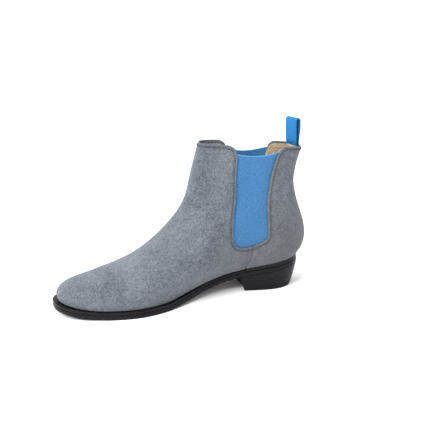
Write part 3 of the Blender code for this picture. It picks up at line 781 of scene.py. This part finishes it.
def make_stitches():
    """Slanted stitches under the folded top edges and round the gores, straight ones down the side seams."""
    slanted = {"pitch": 2.5, "length": 3.2, "radius": 0.55, "slant": 58}
    for name, line, turn in (("front", front_outline_top(), 1), ("rear", rear_outline_top(), -1)):
        row = inset_line(line, turn * EDGE_ROW)
        stitches(f"stitches_{name}_edge", row, THREAD, relief=soft_waves, **slanted)
    for name, line, turn in (("front", front_outline_top(), 1), ("rear", rear_outline_top(), -1)):
        line = inset_line(line[line[:, 1] > GORE_TOP + 0.01], turn * LINING_ROW)
        depth = RIM_DEPTH + LINING_THICK
        stitches(f"stitches_{name}_lining", line, THREAD, depth=depth, pitch=3.0, length=2.3,
                 relief=lining_creases, inwards=True)
    for side, flip in (("medial", False), ("lateral", True)):
        low = pairs(seam_edge(LOW_V) + SEAM_ROW_U, LOW_V)[2:-1]
        low = lateral(low) if flip else low
        stitches(f"stitches_seam_{side}", low, THREAD, pitch=3.0, length=2.2, radius=0.26, relief=soft_waves)


def front_outline_top():
    """The front panel's edge from the seam up one side of its window, round the top and down the other."""
    side = front_side()
    side = side[side[:, 1] >= GORE_BOTTOM]
    top = dense(np.array([side[-1], lateral(side[-1:])[0]]), 3)
    return rounded_open(np.concatenate([side, top, lateral(side)[::-1]]), 3.0)


def rear_outline_top():
    side = rear_side()
    side = side[side[:, 1] >= GORE_BOTTOM]
    return rounded_open(np.concatenate([side, (side * (-1, 1))[::-1]]), 3.0)


def rounded_open(uv, radius, spacing=0.5):
    """An open line with its corners rounded."""
    fine = dense(uv, spacing)
    reach = int(radius / spacing)
    weights = np.ones(2 * reach + 1) / (2 * reach + 1)
    inner = np.stack([np.convolve(fine[:, i], weights, mode="valid") for i in (0, 1)], -1)
    return np.concatenate([fine[:1], inner, fine[-1:]])


# ---------------------------------------------------------------- the sole and the heel


def plan_offset(u, distance):
    """The feather line moved outwards in plan, by distance, or inwards where it is negative."""
    tiny = 1e-3
    along_it = (form(u + tiny, 0) - form(u - tiny, 0))[..., :2]
    outside = unit(np.stack([-along_it[..., 1], along_it[..., 0]], -1))
    return form(u, 0)[..., :2] + outside * np.asarray(distance)[..., None]


def sole_edge(u):
    """How far the sole's edge stands out from the feather line: wide at the toe, close at waist and heel."""
    y = form(u, 0)[..., 1]
    wide = (EDGE_FRONT - EDGE_REAR) * smooth_share(y, *FOREFOOT_Y)
    return EDGE_REAR + wide + EDGE_TOE * smooth_share(y, *TOE_Y)


def on_sole(u, out, lift):
    """Points out from the sole's own edge line and lift above the feather line."""
    plan = plan_offset(u, out)
    return np.concatenate([plan, (feather_z(plan[..., 1]) + lift)[..., None]], -1)


def edge_profile(thickness, bevels, bulge, steps=5):
    """(out, down) of a sole edge from its top to its bottom: two rounded corners and a slight belly."""
    angles = np.linspace(0, np.pi / 2, steps)
    high, low = ([(r * (math.sin(a) - 1), r * (1 - math.cos(a))) for a in angles] for r in bevels)
    belly = [(bulge * math.sin(math.pi * s), thickness * s) for s in (0.3, 0.5, 0.7)]
    return [*high, *belly, *((out, thickness - down) for out, down in low[::-1])]


def sole_layer(name, edge, lift, thickness, finish, bevels=(0.2, 0.5), bulge=0.0, rows=150, across=8,
               replaced=()):
    """A whole layer of the sole. edge(u) is how far it stands out; lift is its top's height."""
    turn = np.linspace(0, np.pi, rows)
    u = (1 - np.cos(turn)) / 4
    profile = edge_profile(thickness, bevels, bulge)
    sides = []
    for at in (u, 1 - u):
        sides.append([on_sole(at, edge(at) + out, lift - down) for out, down in profile])
    medial, other = sides
    shares = np.linspace(0, 1, across + 1)[1:-1]
    bottom = [medial[-1] + (other[-1] - medial[-1]) * s for s in shares]
    top = [other[0] + (medial[0] - other[0]) * s for s in shares]
    for line in bottom:
        line[:, 2] = feather_z(line[:, 1]) + lift - thickness
    for line in top:
        line[:, 2] = feather_z(line[:, 1]) + lift
    ring = np.array([*medial, *bottom, *other[::-1], *top])
    return tube(name, ring.transpose(1, 0, 2), finish, replaced)


def tube(name, rings, finish, replaced=(), body="boot"):
    """A closed skin through rings of points, with its ends filled."""
    count, size = rings.shape[:2]
    faces = []
    for k in range(count - 1):
        for i in range(size):
            low, high = k * size, (k + 1) * size
            faces.append([low + i, low + (i + 1) % size, high + (i + 1) % size, high + i])
    faces += [list(range(size))[::-1], [(count - 1) * size + i for i in range(size)]]
    obj = add_mesh(name, rings.reshape(-1, 3), faces, finish, body, merge=0.01)
    obj.data.set_sharp_from_angle(angle=math.radians(50))
    if replaced:
        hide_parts(*replaced)
    return obj


def strip(name, u, inner, top, thickness, finish, bevels, replaced):
    """A strip along the feather line, such as the welt, from inner to the sole's edge."""
    profile = edge_profile(thickness, bevels, 0.0)
    rings = [on_sole(u, sole_edge(u) + out, top - down) for out, down in profile]
    rings += [on_sole(u, np.full(len(u), -inner), top - thickness), on_sole(u, np.full(len(u), -inner), top)]
    return tube(name, np.array(rings).transpose(1, 0, 2), finish, replaced)


def make_sole():
    line = np.linspace(0, 0.5, 600)
    seat_u = float(np.interp(-SEAT_Y, -form(line, 0)[:, 1], line))
    forefoot = np.linspace(seat_u + 0.0008, 1 - seat_u - 0.0008, 260)
    strip("welt_leather", forefoot, WELT_INNER, -GAP, WELT_THICK - 0.25,
          EDGE_BLACK, (0.7, 0.15), ["welt"])
    rand_thick = WELT_THICK + RAND_LIFT - 0.15 + GAP * 0.2
    strip("rand_leather", np.linspace(-seat_u, seat_u, 110), WELT_INNER, RAND_LIFT, rand_thick,
          EDGE_BLACK, (0.6, 0.15), ["heel_rand"])
    sole_layer("outsole_leather", sole_edge, OUTSOLE_THICK - SOLE, OUTSOLE_THICK, EDGE_BLACK,
               bevels=(0.15, 0.8), bulge=0.2,
               replaced=["outsole"])
    sock_inset = -(LINING_DEPTH + LINING_THICK + 2.5 * GAP)
    sole_layer("sock_leather", lambda u: np.full(np.shape(u), sock_inset), INSOLE_TOP + GAP + 1.0, 0.9,
               LINING,
               bevels=(0.3, 0.1), replaced=["sock_liner"])


def heel_line(scale, breast, inset=0.0, steps=60):
    """The heel's outline in plan: the sole's edge behind the breast, drawn in, closed by a hollow front."""
    u = np.linspace(0, 0.3, 400)
    lines = []
    for side in (u, 1 - u):
        edge = plan_offset(side, EDGE_REAR - inset)
        last = np.interp(-breast, -edge[:, 1], u)
        share = np.linspace(0, 1, steps) * last
        lines.append(plan_offset(share if side is u else 1 - share, EDGE_REAR - inset))
    medial, other = lines
    between = np.linspace(0, 1, 30)[1:-1, None]
    hollow = medial[-1] + (other[-1] - medial[-1]) * between
    hollow[:, 1] += BREAST_HOLLOW * np.sin(np.pi * between[:, 0]) + inset
    line = np.concatenate([medial, hollow, other[:0:-1]])
    middle = np.array([HEEL_MIDDLE_X, breast])
    return middle + (line - middle) * scale


def make_heel():
    """A stack of lifts that narrows downwards, with faint lines between them, on a rubber top piece."""
    wedge_low = TOP_PIECE + LIFTS * (LIFT + GAP) + GAP
    levels = [("heel_top_rubber", "heel_top_piece", 0.0, TOP_PIECE + 0.2, RUBBER, "black_rubber")]
    for i in range(LIFTS):
        low = TOP_PIECE + 0.25 + i * (LIFT + GAP)
        node = f"heel_lift_{i + 1}"
        levels.append((f"{node}_leather", node, low, low + LIFT + 0.25, HEEL_BLACK, "black_leather"))
    levels.append(("heel_wedge_leather", "heel_wedge", wedge_low - 0.05, None, HEEL_BLACK, "black_leather"))
    for name, node, low, high, finish, slot in levels:
        rings = []
        bevel = 0.18
        for share, inset in ((0, bevel), (0, 0), (0.25, 0), (0.5, 0), (0.75, 0), (1, 0), (1, bevel)):
            lift = bevel if (share, inset) == (0, 0) else -bevel if (share, inset) == (1, 0) else 0
            top = high if high is not None else WEDGE_REACH
            z = low + (top - low) * share
            at = min(z / HEEL_HIGH, 1) ** 0.8
            plan = heel_line(TAPER + (1 - TAPER) * at, BREAST_Y + BREAST_SLOPE * (1 - at), inset)
            level = np.full(len(plan), z + lift)
            if high is None:
                under = feather_z(plan[:, 1]) - SOLE - 0.05
                level = low + (under - low) * share + lift
            rings.append(np.concatenate([plan, level[:, None]], -1))
        tube(name, np.array(rings), finish, [node])


# ---------------------------------------------------------------- the pull tab


def make_tab():
    """One webbing ribbon: up from inside the rim, over, and down again behind itself."""
    turn = math.radians(TAB_TURN)
    wide = np.array([math.cos(turn), math.sin(turn), 0])
    deep = np.array([-math.sin(turn), math.cos(turn), 0])
    centre = np.array([TAB_X, TAB_Y, 0])
    half = TAB_THICK / 2
    crown = 2.9
    rise = np.linspace(TAB_LOW, TAB_TOP - half - crown, 40)
    share = (rise - TAB_LOW) / (rise[-1] - TAB_LOW)
    open_front = 0.65 + (crown - 0.65) * smooth_step((share - 0.05) / 0.35)
    open_rear = 0.65 + (crown - 0.65) * smooth_step((share - 0.30) / 0.55)
    arc = np.linspace(0, np.pi, 13)[1:-1]
    path = [*zip(-open_front, rise)]
    path += [(-crown * math.cos(a), rise[-1] + crown * math.sin(a)) for a in arc]
    path += [*zip(open_rear[::-1], rise[::-1])]
    path = np.array(path)
    heading = unit(np.gradient(path, axis=0))
    across_path = np.stack([heading[:, 1], -heading[:, 0]], -1)
    run = np.append(0, np.cumsum(np.linalg.norm(np.diff(path, axis=0), axis=1)))
    section = tab_section(TAB_WIDTH, TAB_THICK)
    rim_u = np.linspace(-0.08, 0.08, 300)
    rim_x = form(rim_u, 0.97)[:, 0]
    rings, plans = [], []
    for (a, z), (da, dz), distance in zip(path, across_path, run):
        ring = []
        for w, t in section:
            free = centre + wide * w + deep * (a + da * t) + np.array([0, 0, z + dz * t])
            u = np.interp(centre[0] + wide[0] * w, rim_x, rim_u)
            in_rim = rim_point(u, z, 2.95 - (a + da * t))
            share = smooth_step((z - TAB_RIM) / (TAB_FREE - TAB_RIM))
            ring.append(in_rim + (free - in_rim) * share)
        rings.append(ring)
        plans += [(w, distance, 0) for w, _ in section]
    rings = np.array(rings)
    stands_for = ["pull_tab_loop", "pull_tab_base"]
    obj = tube("pull_tab_webbing", rings, WEBBING, stands_for, body=None)
    attribute = obj.data.attributes.new("cloth_plan", "FLOAT_VECTOR", "POINT")
    attribute.data.foreach_set("vector", np.array(plans, np.float32).ravel())
    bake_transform(obj)


def rim_point(u, z, depth):
    """Point depth inside the rim at height z, below the top edge at u."""
    v = 0.9 + 0.1 * (z - form(u, 0.9)[2]) / (form(u, 1.0)[2] - form(u, 0.9)[2])
    v = min(v, 1.0)
    point = form(u, v) - outward(u, v) * depth
    point[2] = z
    return point


def tab_section(width, thickness, steps=5):
    """(across, through) of the ribbon's cross-section, with rounded edges."""
    half, side = thickness / 2, width / 2 - thickness / 2
    angles = np.linspace(-np.pi / 2, np.pi / 2, steps)
    right = [(side + half * math.cos(a), half * math.sin(a)) for a in angles]
    left = [(-w, -t) for w, t in right]
    inner = np.linspace(side, -side, 9)[1:-1]
    return [*right, *((w, half) for w in inner), *left, *((w, -half) for w in inner[::-1])]


# ---------------------------------------------------------------- the stage


def make_stage():
    scene = bpy.context.scene
    world = bpy.data.worlds.new("studio")
    scene.world = world
    world.use_nodes = True
    world.node_tree.nodes["Background"].inputs["Color"].default_value = (1, 1, 1, 1)
    world.node_tree.nodes["Background"].inputs["Strength"].default_value = WORLD_LIGHT
    scene.view_settings.view_transform = "Standard"
    bpy.ops.mesh.primitive_circle_add(vertices=96, radius=6, fill_type="NGON", location=(0, -0.1, 0))
    floor = bpy.context.active_object
    floor.name = "floor"
    pale = Nodes("pale_floor", 0.9, Specular_IOR_Level=0.1)
    cloud = pale.noise(0.8, 2)
    floor.data.materials.append(pale.finish(pale.mix(cloud, (0.93, 0.93, 0.93), (0.95, 0.95, 0.95))))
    for name, place, size, power in LIGHTS:
        light = bpy.data.lights.new(name, "AREA")
        light.shape, light.size, light.energy = "SQUARE", size, power
        lamp = bpy.data.objects.new(name, light)
        lamp.location = place
        lamp.rotation_mode = "QUATERNION"
        lamp.rotation_quaternion = (Vector(place) - AIM).to_track_quat("Z", "Y")
        scene.collection.objects.link(lamp)
    lens = bpy.data.cameras.new("camera")
    lens.lens, lens.sensor_width = LENS, 36
    lens.clip_start = 0.01
    camera = bpy.data.objects.new("camera", lens)
    yaw, pitch, roll = (math.radians(a) for a in (YAW, PITCH, ROLL))
    ahead = Vector((math.sin(yaw) * math.cos(pitch), math.cos(yaw) * math.cos(pitch), math.sin(pitch)))
    level = Vector((math.cos(yaw), -math.sin(yaw), 0))
    upright = level.cross(ahead)
    right = level * math.cos(roll) + upright * math.sin(roll)
    above = upright * math.cos(roll) - level * math.sin(roll)
    camera.matrix_world = Matrix.Translation(EYE) @ Matrix((right, above, -ahead)).transposed().to_4x4()
    scene.collection.objects.link(camera)
    scene.camera = camera


WORLD_LIGHT = 1.08
LIGHTS = [  # name, place in metres, size in metres, watts
    ("key", (1.0, -1.5, 1.5), 1.1, 62.0),
    ("top", (-0.3, -0.5, 1.8), 1.4, 16.0),
]
AIM = Vector((0, -0.1, 0.06))


# ---------------------------------------------------------------- everything, in order

for old in list(bpy.data.objects):
    bpy.data.objects.remove(old)
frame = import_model()

# The suede's third colour is the darker grey of its painted shade low down at the heel.
SUEDE = suede("grey_suede", (0.036, 0.042, 0.052), (0.180, 0.195, 0.218), (0.075, 0.073, 0.073))
ELASTIC = elastic("blue_elastic", (0.012, 0.080, 0.195), (0.038, 0.165, 0.36))
SELVEDGE = elastic("pale_selvedge", (0.03, 0.16, 0.33), (0.07, 0.26, 0.47))
WEBBING = webbing("blue_webbing", (0.001, 0.095, 0.27), (0.004, 0.16, 0.40))
LINING = leather("tan_lining", (0.29, 0.215, 0.13), (0.47, 0.385, 0.265), 0.6)
THREAD = thread("dark_grey_thread", (0.022, 0.024, 0.028))
EDGE_BLACK = sole_black("black_sole_edge", (0.0025, 0.0026, 0.0040), 0.34)
HEEL_BLACK = sole_black("black_heel_stack", (0.0028, 0.0029, 0.0043), 0.34, lines=0.2)
RUBBER = sole_black("black_heel_rubber", (0.004, 0.004, 0.005), 0.6, coat=0.0)
HIDDEN = {
    "cork_filler": grainy("cork_crumb", (0.28, 0.15, 0.07), (0.55, 0.36, 0.19), 0.9, 500),
    "insole": grainy("insole_leather", (0.50, 0.33, 0.19), (0.62, 0.44, 0.27), 0.75, 700),
    "toe_puff": grainy("stiffener_board", (0.62, 0.58, 0.48), (0.75, 0.72, 0.65), 0.85, 900),
    "heel_counter": grainy("counter_board", (0.58, 0.52, 0.42), (0.70, 0.65, 0.56), 0.85, 900),
    "shank": grainy("spring_steel", (0.25, 0.26, 0.28), (0.42, 0.42, 0.43), 0.35, 250, 1.0, 0.00005),
}
NAIL_STEEL = grainy("nail_steel", (0.30, 0.30, 0.31), (0.48, 0.48, 0.48), 0.4, 600, 1.0, 0.00005)

make_stage()
make_upper()
make_stitches()
make_sole()
make_heel()
make_tab()
for name, node in frame["nodes"].items():
    if not node.hide_render:
        node.data.materials.clear()
        node.data.materials.append(HIDDEN.get(name, NAIL_STEEL))
